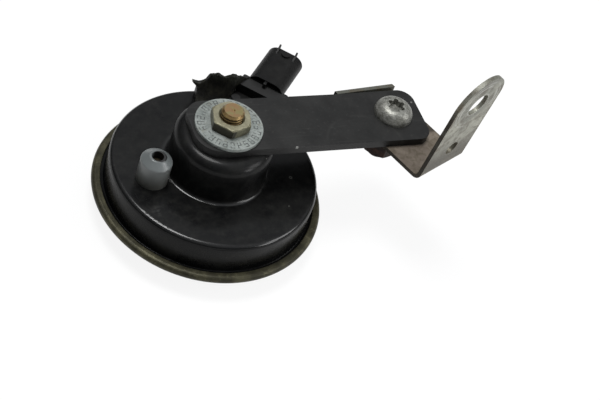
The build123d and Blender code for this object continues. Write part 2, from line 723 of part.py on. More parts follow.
# ---- connector --------------------------------------------------------------------------
def terminal_blade(side, gap):
    """Flat terminal: blade in the socket, stepped down to a tail inside the pan."""
    y0 = side * BLADE_Y - BLADE_W / 2 - gap
    width = BLADE_W + 2 * gap
    z0 = SOCKET_MID_Z - BLADE_T / 2
    z1 = SOCKET_MID_Z + BLADE_T / 2
    tail_z = PAN_ROOF_Z - TAIL_L
    blade_x = BLADE_TIP_X - BLADE_TIP_BEVEL
    half_tip = BLADE_TIP_BEVEL * BLADE_T / 2
    section = outline([
        (TAIL_X - gap, tail_z, 0),
        (TAIL_X + BLADE_T + gap, tail_z, 0),
        (TAIL_X + BLADE_T + gap, TAIL_RUN_Z - gap, 0),
        (TAIL_STEP_X + BLADE_T + gap, TAIL_RUN_Z - gap, 0),
        (TAIL_STEP_X + BLADE_T + gap, z0 - gap, 0),
        (blade_x, z0 - gap, 0),
        (BLADE_TIP_X, SOCKET_MID_Z - half_tip, 0),
        (BLADE_TIP_X, SOCKET_MID_Z + half_tip, 0),
        (blade_x, z1 + gap, 0),
        (TAIL_STEP_X - gap, z1 + gap, 0),
        (TAIL_STEP_X - gap, TAIL_RUN_Z + BLADE_T + gap, 0),
        (TAIL_X - gap, TAIL_RUN_Z + BLADE_T + gap, 0),
    ])
    return CONNECTOR * extrude(Plane.XZ.offset(-y0 - width) * section, width)


def terminal_blades():
    return [terminal_blade(side, 0.0) for side in (-1, 1)]


def footing(x0, x1, bend, z, height):
    """Slab of the connector's footing between two distances from the horn's axis."""
    half = PLATE_W / 2
    corners = [(x0, -half, bend), (x1, -half, bend), (x1, half, bend), (x0, half, bend)]
    return slab(corners, z, height)


def connector_seal():
    plate = CONNECTOR * footing(PLATE_IN_X, SEAL_OUT_X, PLATE_CORNER, PAN_TOP_Z, SEAL_T)
    return plate - connector_window(SEAT_GAP) - connector_rivet_holes()


def socket_pockets():
    """Two moulding pockets in the socket's inner end, above the riser."""
    inset = 2 * POCKET_WALL
    room = stadium(SOCKET_W - inset, SOCKET_H - inset, SOCKET_IN_X, SOCKET_IN_X + POCKET_DEPTH)
    half = SOCKET_W / 2
    above = block(SOCKET_IN_X, SOCKET_OUT_X, -half, half, RISER_TOP_Z + POCKET_WALL, SOCKET_TOP_Z)
    rib = block(SOCKET_IN_X, SOCKET_OUT_X, -POCKET_RIB / 2, POCKET_RIB / 2, PAN_TOP_Z, SOCKET_TOP_Z)
    return room & above - rib


def guide_rib(side):
    """Ramped rib beside the latch, rising to the socket's mouth."""
    root_z = SOCKET_TOP_Z - SOCKET_WALL / 2
    ramp = outline([
        (SOCKET_OUT_X - GUIDE_L, root_z, 0),
        (SOCKET_OUT_X, root_z, 0),
        (SOCKET_OUT_X, SOCKET_TOP_Z + GUIDE_H, 0),
        (SOCKET_OUT_X - GUIDE_L, SOCKET_TOP_Z, 0),
    ])
    y0 = side * GUIDE_Y - GUIDE_T / 2
    return extrude(Plane.XZ.offset(-y0 - GUIDE_T) * ramp, GUIDE_T)


def latch_nub():
    """Half-round latch stop on the socket, with its flat side towards the mouth."""
    x = SOCKET_OUT_X - LATCH_FROM_MOUTH
    top_z = SOCKET_TOP_Z + LATCH_H
    nub = drum(LATCH_R, SOCKET_TOP_Z - SOCKET_WALL / 2, top_z, x)
    return nub & block(x - LATCH_R, x, -LATCH_R, LATCH_R, SOCKET_MID_Z, top_z)


def connector_housing():
    boss = BOSS_W / 2
    cavity_w = SOCKET_W - 2 * SOCKET_WALL
    cavity_h = SOCKET_H - 2 * SOCKET_WALL
    body = footing(PLATE_IN_X, RISER_OUT_X, PLATE_CORNER, PLATE_Z, PLATE_H)
    body += footing(RISER_IN_X, RISER_OUT_X, PLATE_CORNER / 2, PLATE_Z, RISER_TOP_Z - PLATE_Z)
    body += block(BOSS_IN_X, BOSS_OUT_X, -boss, boss, YOKE_Z, PLATE_Z + PLATE_H)
    body += stadium(SOCKET_W, SOCKET_H, SOCKET_IN_X, SOCKET_OUT_X)
    body += latch_nub()
    body += guide_rib(-1)
    body += guide_rib(1)
    body -= stadium(cavity_w, cavity_h, SOCKET_IN_X + SOCKET_ROOT, SOCKET_OUT_X)
    body -= socket_pockets()
    body = CONNECTOR * body - connector_rivet_holes()
    body -= terminal_blade(-1, SLIP_GAP)
    body -= terminal_blade(1, SLIP_GAP)
    return body


def connector_rivets():
    x = (BOSS_IN_X + BOSS_OUT_X) / 2
    top_z = PLATE_Z + PLATE_H
    rivets = []
    for side in (-1, 1):
        y = side * CONNECTOR_RIVET_Y
        shank = drum(RIVET_R, PAN_ROOF_Z, top_z, x, y)
        head = drum(RIVET_HEAD_R, top_z, top_z + RIVET_HEAD_H, x, y)
        tail = drum(RIVET_HEAD_R, PAN_ROOF_Z - RIVET_HEAD_H, PAN_ROOF_Z, x, y)
        rivets.append(CONNECTOR * (shank + head + tail))
    return rivets


def torn_seal():
    """Lump of sealing compound with a torn crest and a smooth hollow facing the cup."""
    top_z = PAN_TOP_Z + LUMP_H
    face = from_side(LUMP_OUT_R, LUMP_OUT_R, [
        (-LUMP_LEFT, PAN_TOP_Z, 0),
        (LUMP_RIGHT, PAN_TOP_Z, 0),
        (LUMP_RIGHT, top_z, LUMP_BEND),
        (LUMP_DIP_X + LUMP_BROW_X, top_z - LUMP_DIP_BEND, LUMP_BEND),
        (LUMP_DIP_X, top_z - LUMP_DIP, LUMP_DIP_BEND),
        (LUMP_DIP_X - LUMP_BEND, top_z - LUMP_DIP_BEND, LUMP_DIP_BEND),
        (-LUMP_BROW_X, top_z - LUMP_DIP_BEND, LUMP_BEND),
        (-LUMP_LEFT, PAN_TOP_Z + LUMP_SPIKE_H - LUMP_NECK_DROP, LUMP_DIP_BEND),
        (-LUMP_SPIKE_X, PAN_TOP_Z + LUMP_SPIKE_H, 0),
    ])
    band = turned([
        (LUMP_IN_R, PAN_TOP_Z, 0),
        (LUMP_OUT_R, PAN_TOP_Z, 0),
        (LUMP_OUT_R, top_z, 0),
        (LUMP_CREST_R, top_z, 0),
        (LUMP_HEEL_R, PAN_TOP_Z + LUMP_HEEL_H, LUMP_SCOOP),
    ])
    half = PLATE_W / 2 + LUMP_GAP
    return (LUMP * face) & band - CONNECTOR * block(0, SOCKET_OUT_X, -half, half, PAN_TOP_Z, top_z)


# ---- bracket ----------------------------------------------------------------------------
def leaf(z):
    corners = [
        (-LEAF_HUB_X, -LEAF_NEAR_Y, LEAF_HUB_NEAR_CORNER),
        (LEAF_END_X, -LEAF_NEAR_Y, LEAF_NEAR_CORNER),
        (LEAF_END_X, LEAF_FAR_Y + LEAF_FLARE, LEAF_FAR_CORNER),
        (TAB_X, LEAF_FAR_Y, 0),
        (-LEAF_HUB_X, LEAF_FAR_Y, LEAF_HUB_CORNER),
    ]
    plate = slab(corners, z, LEAF_T)
    plate -= drum(M8_R + HOLE_GAP, z, z + LEAF_T)
    return plate - BOLT_AXIS * drum(M8_R + HOLE_GAP, z, z + LEAF_T)


def leaf_lower():
    return leaf(LEAF_Z)


def leaf_upper():
    return leaf(LEAF_Z + LEAF_T)


def index_washer():
    return ring(M8_R + HOLE_GAP, INDEX_WASHER_R, LEAF_TOP_Z, WASHER_TOP_Z)


def stud_nut():
    return Pos(0, 0, WASHER_TOP_Z) * Rot(0, 0, STUD_NUT_TURN) * hex_nut(M8_FLATS, M8_R + SLIP_GAP, STUD_NUT_H)


def bracket_bolt():
    """Button-head bolt with a six-lobe socket."""
    end_z = LEAF_TOP_Z - BOLT_LENGTH
    crown_z = LEAF_TOP_Z + BOLT_HEAD_H
    rim_z = LEAF_TOP_Z + BOLT_HEAD_RIM
    dome = SagittaArc((BOLT_HEAD_R, rim_z), (BOLT_CROWN_R, crown_z), -BOLT_HEAD_DOME)
    sides = Polyline(
        (BOLT_CROWN_R, crown_z),
        (0, crown_z),
        (0, end_z),
        (M8_R - BOLT_END_CHAMFER, end_z),
        (M8_R, end_z + BOLT_END_CHAMFER),
        (M8_R, LEAF_TOP_Z),
        (BOLT_HEAD_R, LEAF_TOP_Z),
        (BOLT_HEAD_R, rim_z),
    )
    bolt = revolve(Plane.XZ * make_face(dome + sides), Axis.Z)
    socket = drum(LOBE_CORE_R, crown_z - LOBE_DEPTH, crown_z)
    for place in PolarLocations(LOBE_PITCH_R, 6):
        socket += place * drum(LOBE_R, crown_z - LOBE_DEPTH, crown_z)
    return BOLT_AXIS * (bolt - Rot(0, 0, LOBE_TURN) * socket)


def bracket_nut():
    nut = Rot(0, 0, BOLT_NUT_TURN) * hex_nut(M8_FLATS, M8_R + SLIP_GAP, BOLT_NUT_H)
    return BOLT_AXIS * Pos(0, 0, SUPPORT_Z - BOLT_NUT_H) * nut


def support_plate():
    """Plate clamped under the leaves, with a leg bent up at one end and a stop tab at the other."""
    lean = math.radians(LEG_ANGLE)
    along = (math.cos(lean), math.sin(lean))
    mitre = SUPPORT_T * math.tan(lean / 2)
    tip_y = SUPPORT_REACH + LEG_L * along[0]
    tip_z = SUPPORT_Z + LEG_L * along[1]
    sheet = from_side(SUPPORT_W / 2, SUPPORT_W, [
        (-SUPPORT_BACK, SUPPORT_Z, 0),
        (SUPPORT_REACH, SUPPORT_Z, SUPPORT_BEND + SUPPORT_T),
        (tip_y, tip_z, 0),
        (tip_y - SUPPORT_T * along[1], tip_z + SUPPORT_T * along[0], 0),
        (SUPPORT_REACH - mitre, LEAF_Z, SUPPORT_BEND),
        (-SUPPORT_BACK, LEAF_Z, 0),
    ])
    leg = Plane(
        origin=(0, -SUPPORT_REACH, SUPPORT_Z),
        x_dir=(1, 0, 0),
        z_dir=(0, -along[1], -along[0]),
    )
    end_up = LEG_L - SUPPORT_W / 2
    blank = Rectangle(SUPPORT_W, 2 * end_up) + Pos(0, end_up) * Circle(SUPPORT_W / 2)
    reach = SUPPORT_REACH + SUPPORT_BACK
    sheet = sheet & leg * extrude(blank, reach, both=True)
    for radius, up in ((SMALL_HOLE_R, SMALL_HOLE_UP), (LARGE_HOLE_R, LARGE_HOLE_UP)):
        sheet -= leg * Pos(0, up) * extrude(Circle(radius), 2 * SUPPORT_T, both=True)
    sheet = SUPPORT * (sheet - drum(M8_R + HOLE_GAP, SUPPORT_Z, LEAF_Z))
    sheet -= TAB * block(-reach, reach, -TAB_ROOT, reach, SUPPORT_Z, LEAF_Z)
    tab = TAB * Pos(-reach / 2, 0, 0) * Rot(0, 0, 180) * from_side(reach, 2 * reach, [
        (-TAB_ROOT, SUPPORT_Z, 0),
        (SUPPORT_T, SUPPORT_Z, TAB_BEND + SUPPORT_T),
        (SUPPORT_T, SUPPORT_Z + TAB_H, 0),
        (0, SUPPORT_Z + TAB_H, 0),
        (0, LEAF_Z, TAB_BEND),
        (-TAB_ROOT, LEAF_Z, 0),
    ])
    half = SUPPORT_W / 2
    return sheet + (tab & SUPPORT * block(-half, half, -reach, reach, SUPPORT_Z, SUPPORT_Z + TAB_H))


NODES = {
    "tone_disc": tone_disc,
    "tone_disc_nut": tone_disc_nut,
    "tone_disc_washer": tone_disc_washer,
    "tone_disc_spacer": tone_disc_spacer,
    "diaphragm": diaphragm,
    "rim_gasket": rim_gasket,
    "back_shell": back_shell,
    "armature": armature,
    "pole_core_stud": pole_core_stud,
    "yoke_plate": yoke_plate,
    "coil_bobbin": coil_bobbin,
    "coil_winding": coil_winding,
    "coil_leads": coil_leads,
    "contact_lead": contact_lead,
    "moving_contact_arm": moving_contact_arm,
    "fixed_contact_arm": fixed_contact_arm,
    "contact_points": contact_points,
    "contact_insulators": contact_insulators,
    "contact_rivets": contact_rivets,
    "striker_pad": striker_pad,
    "adjusting_screw": adjusting_screw,
    "adjuster_cap": adjuster_cap,
    "terminal_blades": terminal_blades,
    "connector_seal": connector_seal,
    "connector_housing": connector_housing,
    "connector_rivets": connector_rivets,
    "torn_seal": torn_seal,
    "leaf_lower": leaf_lower,
    "leaf_upper": leaf_upper,
    "index_washer": index_washer,
    "stud_nut": stud_nut,
    "bracket_bolt": bracket_bolt,
    "bracket_nut": bracket_nut,
    "support_plate": support_plate,
}


os.makedirs("parts", exist_ok=True)
for node, make in NODES.items():
    solids = make()
    export_step(Compound(solids) if isinstance(solids, list) else solids, f"parts/{node}.step")
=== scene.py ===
import json
import math

import bmesh
import bpy
from mathutils import Matrix, Vector, noise


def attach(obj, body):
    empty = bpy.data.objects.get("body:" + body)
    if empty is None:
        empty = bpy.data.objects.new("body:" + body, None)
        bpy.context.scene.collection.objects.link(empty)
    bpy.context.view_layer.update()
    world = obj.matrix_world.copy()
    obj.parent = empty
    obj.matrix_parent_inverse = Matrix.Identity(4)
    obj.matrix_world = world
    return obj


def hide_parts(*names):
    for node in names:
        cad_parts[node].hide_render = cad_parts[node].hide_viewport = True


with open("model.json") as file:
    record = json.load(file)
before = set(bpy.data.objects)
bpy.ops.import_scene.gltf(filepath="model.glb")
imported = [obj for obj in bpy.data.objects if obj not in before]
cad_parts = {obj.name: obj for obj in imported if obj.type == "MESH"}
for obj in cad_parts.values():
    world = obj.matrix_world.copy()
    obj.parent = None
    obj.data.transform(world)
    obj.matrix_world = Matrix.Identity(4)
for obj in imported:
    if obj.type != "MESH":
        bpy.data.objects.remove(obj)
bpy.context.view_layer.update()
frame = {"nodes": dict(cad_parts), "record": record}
MM = 0.001

# The camera's place and the way it looks, in millimetres of the row frame.
CAMERA_AT = (-168.35, -285.90, 357.73)
CAMERA_LOOK = (0.41280, 0.56646, -0.71324)
CAMERA_ROLL = -22.61
CAMERA_LENS = 79.96
CAMERA_SENSOR_W = 36.0
CAMERA_NEAR = 0.01
CAMERA_FAR = 50.0

# The world's strength from the horizon to overhead, and its share from the left side to the right.
SKY_LOW = 0.10
SKY_TOP = 0.66
SKY_LEFT = 0.55
SKY_RIGHT = 1.10
SKY_COLOUR = (0.95, 0.97, 1.0, 1.0)
FLOOR_HALF = 6.0
FLOOR_DROP = 0.0002
FLOOR_WHITE = 0.88

# Lamps: name, place, what it points at, disc size and power.
LAMPS = (
    ("overhead", (-0.10, 0.25, 1.25), (0.01, 0, 0.02), 0.55, 13.0),
    ("right", (1.0, -0.45, 0.75), (0.02, 0, 0.02), 0.6, 5.0),
    ("front", (0.95, -1.0, 0.5), (0.02, 0, 0.02), 0.45, 4.5),
)


def top_of(node):
    """Height of a CAD node's top, in millimetres."""
    return max(corner[2] for corner in frame["nodes"][node].bound_box) / MM


def centre_of(node):
    """x and y of the middle of a CAD node, in millimetres."""
    corners = frame["nodes"][node].bound_box
    return tuple((min(c[k] for c in corners) + max(c[k] for c in corners)) / (2 * MM) for k in (0, 1))


# Heights and centres of the CAD pieces.
CUP_TOP = top_of("back_shell")
LEAF_TOP = top_of("leaf_upper")
WASHER_TOP = top_of("index_washer")
STUD_NUT_TOP = top_of("stud_nut")
STUD_END = top_of("pole_core_stud")
BOLT = centre_of("bracket_bolt")
ADJUSTER = centre_of("adjuster_cap")

# Sizes of the CAD source that the boxes of its pieces don't give, in millimetres.
PAN_WALL_FOOT = 10.5
PAN_TOP = 21.7
PAN_SHOULDER_R = 37.0
CUP_FOOT_R = 19.0
CAP_CONE_FOOT = PAN_TOP + 8.9
CAP_MOUTH_R = 2.6
THREAD_PITCH = 1.25
SOCKET_IN_X = 40.0
RISER_TOP = 29.8
CONNECTOR_TURN = math.radians(47.5)
TAB_Y = 12.5
SUPPORT_T = 1.5
SUPPORT_REACH = 26.1
SUPPORT_TURN = math.radians(23.8)
LEG_LEAN = math.radians(3.5)
LEG_HALF_W = 11.75
LARGE_HOLE_UP = 34.9
LARGE_HOLE_LIP_R = 4.9
# Radius of the painted shade round the leg's large hole.
HUB_SHADE_R = 8.6
RING_RS = (8.8, 10.3)

# The support plate's standing leg: its three directions, and where it starts under the cup's top.
LEG_ACROSS = Vector((math.cos(SUPPORT_TURN), math.sin(SUPPORT_TURN), 0.0))
LEG_AWAY = Vector((math.sin(SUPPORT_TURN), -math.cos(SUPPORT_TURN), 0.0))
LEG_UP = LEG_AWAY * math.sin(LEG_LEAN) + Vector((0.0, 0.0, math.cos(LEG_LEAN)))
LEG_OUT = LEG_AWAY * math.cos(LEG_LEAN) - Vector((0.0, 0.0, math.sin(LEG_LEAN)))
LEG_ORIGIN = Vector((*BOLT, CUP_TOP - SUPPORT_T)) + LEG_AWAY * SUPPORT_REACH

# Marks of wear, and places of painted light and shade.
# Place and size of a painted reflection of the cap on the pan's top, broken up by dust.
CAP_REFLECTION_AT = (-26.5, -18.6)
CAP_REFLECTION_R = 3.2
PAN_PITS = ((-18.3, -5.9), (26.2, -8.4))
PAN_PIT_R = 0.45
# Place and size of a painted highlight on the upper leaf's near edge.
LEAF_EDGE_GLINT = (21.9, -11.6)
LEAF_EDGE_GLINT_R = 0.6
LEAF_RUB = (BOLT[0] - 16.0, BOLT[1] - 15.0)
LEAF_RUB_R = 15.0
# Direction and distance of the nut's flat that takes painted shade.
LEFT_FLAT_SHADE = (-0.667, -0.744)
LEFT_FLAT_SHADE_AT = 5.0

# Stamped figures of the washer: each is a choice of seven strokes, placed along and across it.
FIGURES = 25
FIGURE_R = 10.0
FIGURE_HALF_W = 0.60
FIGURE_HALF_H = 1.22
FIGURE_MID = 0.62
FIGURE_LINE = 0.30
FIGURE_STROKES = ((-1, -1), (-1, 1), (1, -1), (1, 1), (0, -1), (0, 0), (0, 1))
STROKE_ROUNDING = (0.14, 0.02)
STROKE_SHOWN = (0.28, 0.30)
STROKE_SEED_GAP = 7.31


# ---------------------------------------------------------------- shader maths
class Val:
    """One shader value, with arithmetic that makes Math nodes."""

    def __init__(self, nodes, socket):
        self.nodes = nodes
        self.socket = socket

    def op(self, operation, *others):
        """A Math node on this value and the others."""
        return self.nodes.node("ShaderNodeMath", [self, *others], operation=operation)

    def __add__(self, other):
        return self.op("ADD", other)

    def __radd__(self, other):
        return self.op("ADD", other)

    def __sub__(self, other):
        return self.op("SUBTRACT", other)

    def __rsub__(self, other):
        return self.nodes.node("ShaderNodeMath", [other, self], operation="SUBTRACT")

    def __mul__(self, other):
        return self.op("MULTIPLY", other)

    def __rmul__(self, other):
        return self.op("MULTIPLY", other)

    def __truediv__(self, other):
        return self.op("DIVIDE", other)

    def __pow__(self, other):
        return self.op("POWER", other)

    def step(self, low, high, below=0.0, above=1.0):
        """below under low, above over high and smooth between; low may be the larger."""
        return self.nodes.node(
            "ShaderNodeMapRange", [self, low, high, below, above], interpolation_type="SMOOTHSTEP"
        )

    def near(self, centre, width):
        """1 at centre, falling to 0 at width from it."""
        return (self - centre).op("ABSOLUTE").step(width, 0.0)


class Nodes:
    """A node tree that takes shader values, numbers, colours and sockets as inputs."""

    def __init__(self, tree):
        self.tree = tree

    def node(self, kind, inputs=(), **settings):
        """Any node: its settings first, then its inputs by order (None leaves one alone)."""
        made = self.tree.nodes.new(kind)
        for key, value in settings.items():
            setattr(made, key, value)
        sockets = [s for s in made.inputs if s.enabled]
        for socket, value in zip(sockets, inputs):
            if value is None:
                continue
            if isinstance(value, Val):
                self.tree.links.new(value.socket, socket)
            elif isinstance(value, bpy.types.NodeSocket):
                self.tree.links.new(value, socket)
            else:
                socket.default_value = value
        return Val(self, next(s for s in made.outputs if s.enabled))

    def source(self, kind, output):
        """A named output of a node that takes no inputs."""
        return Val(self, self.tree.nodes.new(kind).outputs[output])

    def split(self, vector):
        """The x, y and z of a vector."""
        made = self.node("ShaderNodeSeparateXYZ", [vector]).socket.node
        return [Val(self, socket) for socket in made.outputs]


class Mat(Nodes):
    """A Principled material whose patterns are placed by Object coordinates in millimetres."""

    def __init__(self, name, colour, roughness, metallic=0.0, **constants):
        self.material = bpy.data.materials.new(name)
        self.material.use_nodes = True
        super().__init__(self.material.node_tree)
        self.shader = self.tree.nodes["Principled BSDF"]
        self.shader.inputs["Base Color"].default_value = (*colour, 1.0)
        self.shader.inputs["Roughness"].default_value = roughness
        self.shader.inputs["Metallic"].default_value = metallic
        for key, value in constants.items():
            self.shader.inputs[key.replace("_", " ")].default_value = value
        coords = self.source("ShaderNodeTexCoord", "Object")
        self.mm = self.node("ShaderNodeVectorMath", [coords, (1.0 / MM,) * 3], operation="MULTIPLY")

    def scaled(self, scale, shift=(0.0, 0.0, 0.0)):
        """Object coordinates times a scale, which may differ along the axes."""
        scale = scale if isinstance(scale, tuple) else (scale,) * 3
        return self.node("ShaderNodeVectorMath", [self.mm, scale, shift], operation="MULTIPLY_ADD")

    def noise(self, scale, detail=2.0, rough=0.5, shift=(0.0, 0.0, 0.0)):
        """Cloudy noise around 0.5; scale is in cells per millimetre."""
        return self.node(
            "ShaderNodeTexNoise", [self.scaled(scale, shift), 1.0, detail, rough], noise_dimensions="3D"
        )

    def cells(self, scale, shift=(0.0, 0.0, 0.0)):
        """Distance to the nearest of scattered points."""
        return self.node("ShaderNodeTexVoronoi", [self.scaled(scale, shift), 1.0], feature="F1")

    def axes(self):
        """x, y and z in millimetres."""
        return self.split(self.mm)

    def height(self):
        """z in millimetres."""
        return self.axes()[2]

    def along(self, origin, direction):
        """Distance from origin along a direction, in millimetres."""
        offset = self.node("ShaderNodeVectorMath", [self.mm, origin], operation="SUBTRACT")
        return self.node("ShaderNodeVectorMath", [offset, direction], operation="DOT_PRODUCT")

    def radius(self, x0=0.0, y0=0.0):
        """Distance from a line parallel to Z."""
        x, y, _ = self.axes()
        return ((x - x0) ** 2.0 + (y - y0) ** 2.0) ** 0.5

    def blend(self, factor, a, b):
        """Colour a where factor is 0 and b where it is 1."""
        colours = [colour if isinstance(colour, Val) else (*colour, 1.0) for colour in (a, b)]
        return self.node("ShaderNodeMix", [factor, *colours], data_type="RGBA")

    def set(self, name, value):
        """Feeds one of the shader's sockets."""
        self.tree.links.new(value.socket, self.shader.inputs[name])
        return self

    def bump(self, height, distance_mm):
        """Surface relief: height 0 to 1 over the given depth."""
        relief = self.node("ShaderNodeBump", [1.0, distance_mm * MM, None, height])
        return self.set("Normal", relief)


# ---------------------------------------------------------------- mesh helpers
def new_object(name, bm, slot_name, sharp_from=35.0):
    """A smooth piece of the scene made from a bmesh, with edges sharp from an angle in degrees."""
    mesh = bpy.data.meshes.new(name)
    bmesh.ops.recalc_face_normals(bm, faces=bm.faces)
    bm.to_mesh(mesh)
    bm.free()
    for polygon in mesh.polygons:
        polygon.use_smooth = True
    mesh.set_sharp_from_angle(angle=math.radians(sharp_from))
    mesh.materials.append(MATERIALS[slot_name].material)
    piece = bpy.data.objects.new(name, mesh)
    bpy.context.scene.collection.objects.link(piece)
    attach(piece, "root")
    return piece


def paint(node, material):
    """Gives a CAD node a better material."""
    thing = frame["nodes"][node]
    thing.data.materials.clear()
    thing.data.materials.append(material.material)


# ---------------------------------------------------------------- materials
def mottled_metal(name, colour, roughness, mottle=0.25):
    """Metal with cloudy patches a little darker and lighter than its colour."""
    m = Mat(name, colour, roughness, 0.85)
    cloud = m.noise(0.25, 4.0, 0.6)
    fine = m.noise(2.4, 3.0, 0.6, (3.0, 7.0, 1.0))
    dark = tuple(c * (1 - mottle) for c in colour)
    light = tuple(min(1.0, c * (1 + mottle)) for c in colour)
    m.set("Base Color", m.blend((cloud * 0.7 + fine * 0.3).step(0.35, 0.65), dark, light))
    m.set("Roughness", cloud.step(0.3, 0.7) * 0.16 + (roughness - 0.08))
    return m.bump(fine, 0.03)


def black_paint(name):
    """Glossy black paint of the pan and the tone disc, dusty and finely pitted on the pan's top, with a
    painted reflection of the cap on that top and of the floor along the mid-wall.
    """
    m = Mat(name, (0.004, 0.004, 0.004), 0.30, 0.0, Specular_IOR_Level=0.10, Coat_Roughness=0.16)
    z = m.height()
    r = m.radius()
    cloud = m.noise(0.12, 4.0, 0.6)
    grain = m.noise(2.6, 2.0, 0.5)
    dust = m.noise(0.35, 5.0, 0.7, (9.0, 1.0, 4.0))
    speck = m.cells(0.55, (2.0, 5.0, 9.0)).step(0.07, 0.03) * dust.step(0.5, 0.65)
    chips = m.cells(0.09, (1.0, 3.0, 5.0)).step(0.035, 0.02)
    up = z.step(PAN_TOP - 0.5, PAN_TOP - 0.1)
    flat = up * z.step(PAN_TOP + 0.6, PAN_TOP + 0.1)
    crown = z.step(CUP_TOP - 7.0, CUP_TOP - 4.5)
    pits = sum((m.radius(*pit).near(PAN_PIT_R, 0.3) for pit in PAN_PITS), flat * 0.0)
    # Painted reflection of the cap: a lighter patch on the pan's top, broken up by dust.
    cap_reflection = m.radius(*CAP_REFLECTION_AT).step(CAP_REFLECTION_R, 0.4) * dust.step(0.40, 0.58)
    shoulder = r.near(PAN_SHOULDER_R, 1.1) * z.near(PAN_TOP - 0.4, 1.3)
    foot = r.near(CUP_FOOT_R, 1.6) * z.near(PAN_TOP, 1.8)
    # Mid-wall band, coloured lighter where the dust noise is high: partly dust and partly a painted
    # reflection of the floor.
    wall = z.step(PAN_TOP - 2.2, PAN_TOP - 4.0) * z.step(PAN_WALL_FOOT, PAN_WALL_FOOT + 2.5)
    bare = m.blend(cloud.step(0.35, 0.7), (0.0025, 0.0026, 0.0028), (0.0055, 0.0056, 0.0054))
    base = m.blend(wall * dust.step(0.35, 0.7) * 0.7, bare, (0.0085, 0.0082, 0.0068))
    dusty = m.blend(up * dust.step(0.42, 0.75) * 0.5, base, (0.014, 0.014, 0.0125))
    cap_reflected = m.blend(cap_reflection * 0.6, dusty, (0.035, 0.035, 0.033))
    marks = (speck * 0.4 + chips * 0.5 + pits * flat * 0.6).op("MINIMUM", 1.0)
    m.set("Base Color", m.blend(marks, cap_reflected, (0.12, 0.12, 0.11)))
    m.set("Roughness", cloud.step(0.3, 0.75) * 0.10 + up * dust * 0.12 + crown * 0.18 + 0.22)
    m.set("Coat Weight", (shoulder + foot).op("MINIMUM", 1.0) * 0.55 + flat * 0.26 + crown * 0.14)
    return m.bump(grain, 0.012)


def leaf_paint():
    """Matt black paint of the bracket leaves, with faint arcs rubbed round the bolt."""
    m = Mat("leaf_black_paint", (0.010, 0.010, 0.010), 0.42, 0.0, Specular_IOR_Level=0.26)
    cloud = m.noise(0.1, 4.0, 0.6)
    grain = m.noise(2.2, 2.0, 0.5)
    fine = m.noise(0.7, 4.0, 0.65, (3.0, 3.0, 3.0))
    broken = m.noise(0.12, 3.0, 0.6, (5.0, 2.0, 0.0)).step(0.45, 0.6)
    arcs = (m.radius(*LEAF_RUB) - LEAF_RUB_R).near(0.0, 0.9) * broken
    streak = m.noise((0.04, 1.2, 0.4), 3.0, 0.6).step(0.60, 0.74)
    base = m.blend(cloud.step(0.3, 0.7), (0.007, 0.007, 0.0068), (0.0145, 0.0145, 0.014))
    worn = m.blend(arcs * 0.12 + streak * 0.22 + fine.step(0.56, 0.72) * 0.22, base, (0.055, 0.055, 0.052))
    chips = m.cells(0.07, (4.0, 1.0, 2.0)).step(0.035, 0.02)
    top_edge = m.height().step(LEAF_TOP - 1.0, LEAF_TOP - 0.6)
    # Painted highlight: a small bright spot on the leaf's top edge.
    edge_glint = m.radius(*LEAF_EDGE_GLINT).step(LEAF_EDGE_GLINT_R, LEAF_EDGE_GLINT_R - 0.25) * top_edge
    m.set("Base Color", m.blend((chips * 0.6).op("MAXIMUM", edge_glint), worn, (0.20, 0.20, 0.19)))
    m.set("Roughness", cloud * 0.12 + fine * 0.10 + 0.34)
    return m.bump(grain, 0.02)


def rim_zinc():
    """Tarnished zinc of the crimped rim: dull olive, rubbed a little brighter in streaks."""
    m = Mat("rim_zinc", (0.036, 0.034, 0.022), 0.50, 0.5, Specular_IOR_Level=0.3)
    cloud = m.noise(0.16, 5.0, 0.65)
    fine = m.noise(1.6, 4.0, 0.6, (4.0, 4.0, 4.0))
    rubbed = m.noise(0.45, 4.0, 0.7, (8.0, 0.0, 2.0)).step(0.54, 0.72)
    base = m.blend(cloud.step(0.36, 0.66), (0.022, 0.0205, 0.0115), (0.056, 0.052, 0.030))
    m.set("Base Color", m.blend(rubbed * 0.4, base, (0.14, 0.13, 0.08)))
    m.set("Roughness", fine * 0.2 + 0.38)
    return m.bump(fine + cloud, 0.05)


